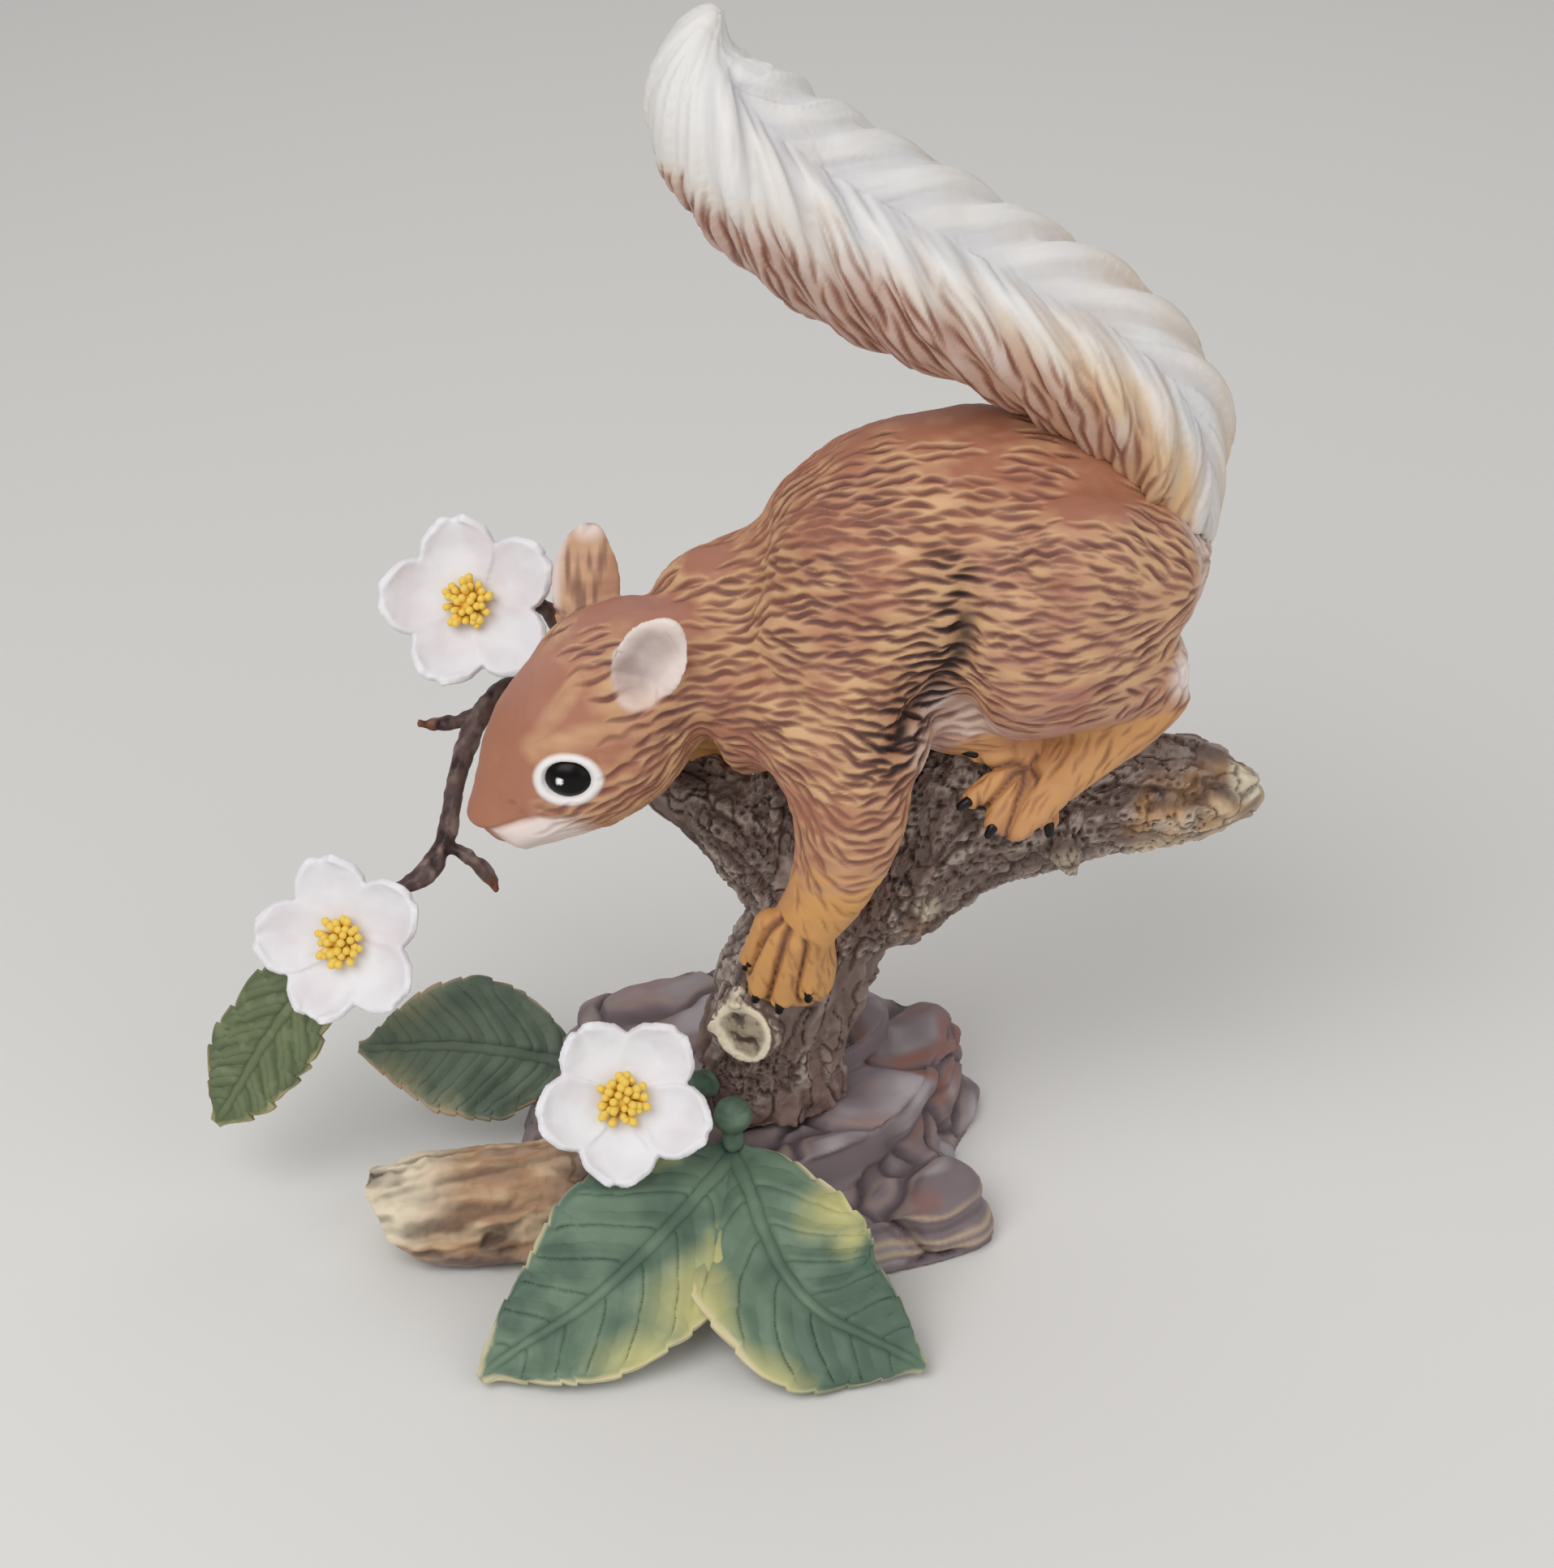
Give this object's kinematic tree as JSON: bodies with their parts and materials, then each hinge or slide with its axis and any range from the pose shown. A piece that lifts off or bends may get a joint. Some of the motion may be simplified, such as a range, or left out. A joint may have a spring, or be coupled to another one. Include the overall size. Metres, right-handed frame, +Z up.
{
  "type": "squirrel figurine",
  "caption": "Porcelain squirrel climbing down a forked branch above a rock ground, with green leaves and white blossoms on a metal twig.",
  "frame": {"origin": "on the flat underside of the rock ground, under the trunk's left flank, where the ornament rests", "axes": "+Z up; the squirrel faces -X and shows its left flank to -Y; +Y is the back of the ornament"},
  "size_m": [0.1631, 0.0944, 0.1892],
  "materials": {
    "fur_bisque": "matte bisque, reddish brown",
    "tail_bisque": "matte bisque, cream white",
    "paw_bisque": "matte bisque, ochre",
    "bark_bisque": "matte bisque, grey brown",
    "rock_bisque": "matte bisque, purple grey",
    "leaf_bisque": "matte bisque, leaf green",
    "petal_bisque": "matte bisque, white",
    "stamen_bisque": "matte, yellow",
    "twig_metal": "matte dark brown paint"
  },
  "bodies": {
    "root": {"rock_base": "rock_bisque", "trunk": "bark_bisque", "right_branch": "bark_bisque", "left_branch": "bark_bisque", "sawn_stub": "bark_bisque", "fallen_log": "bark_bisque", "long_root": "bark_bisque", "short_root": "bark_bisque", "torso": "fur_bisque", "belly": "fur_bisque", "head": "fur_bisque", "ear_left": "fur_bisque", "ear_right": "fur_bisque", "thigh_left": "fur_bisque", "thigh_right": "fur_bisque", "foreleg_left": "fur_bisque", "foreleg_right": "fur_bisque", "hind_foot_left": "paw_bisque", "hind_foot_right": "paw_bisque", "tail": "tail_bisque", "leaf_front_left": "leaf_bisque", "leaf_front_right": "leaf_bisque", "leaf_back": "leaf_bisque", "leaf_twig": "leaf_bisque", "leaf_bud": "leaf_bisque", "twig": "twig_metal", "blossom_stalk": "leaf_bisque", "petal_1_1": "petal_bisque", "petal_1_2": "petal_bisque", "petal_1_3": "petal_bisque", "petal_1_4": "petal_bisque", "petal_1_5": "petal_bisque", "core_1": "petal_bisque", "stamens_1": "stamen_bisque", "petal_2_1": "petal_bisque", "petal_2_2": "petal_bisque", "petal_2_3": "petal_bisque", "petal_2_4": "petal_bisque", "petal_2_5": "petal_bisque", "core_2": "petal_bisque", "stamens_2": "stamen_bisque", "petal_3_1": "petal_bisque", "petal_3_2": "petal_bisque", "petal_3_3": "petal_bisque", "petal_3_4": "petal_bisque", "petal_3_5": "petal_bisque", "core_3": "petal_bisque", "stamens_3": "stamen_bisque"}
  },
  "joints": []
}
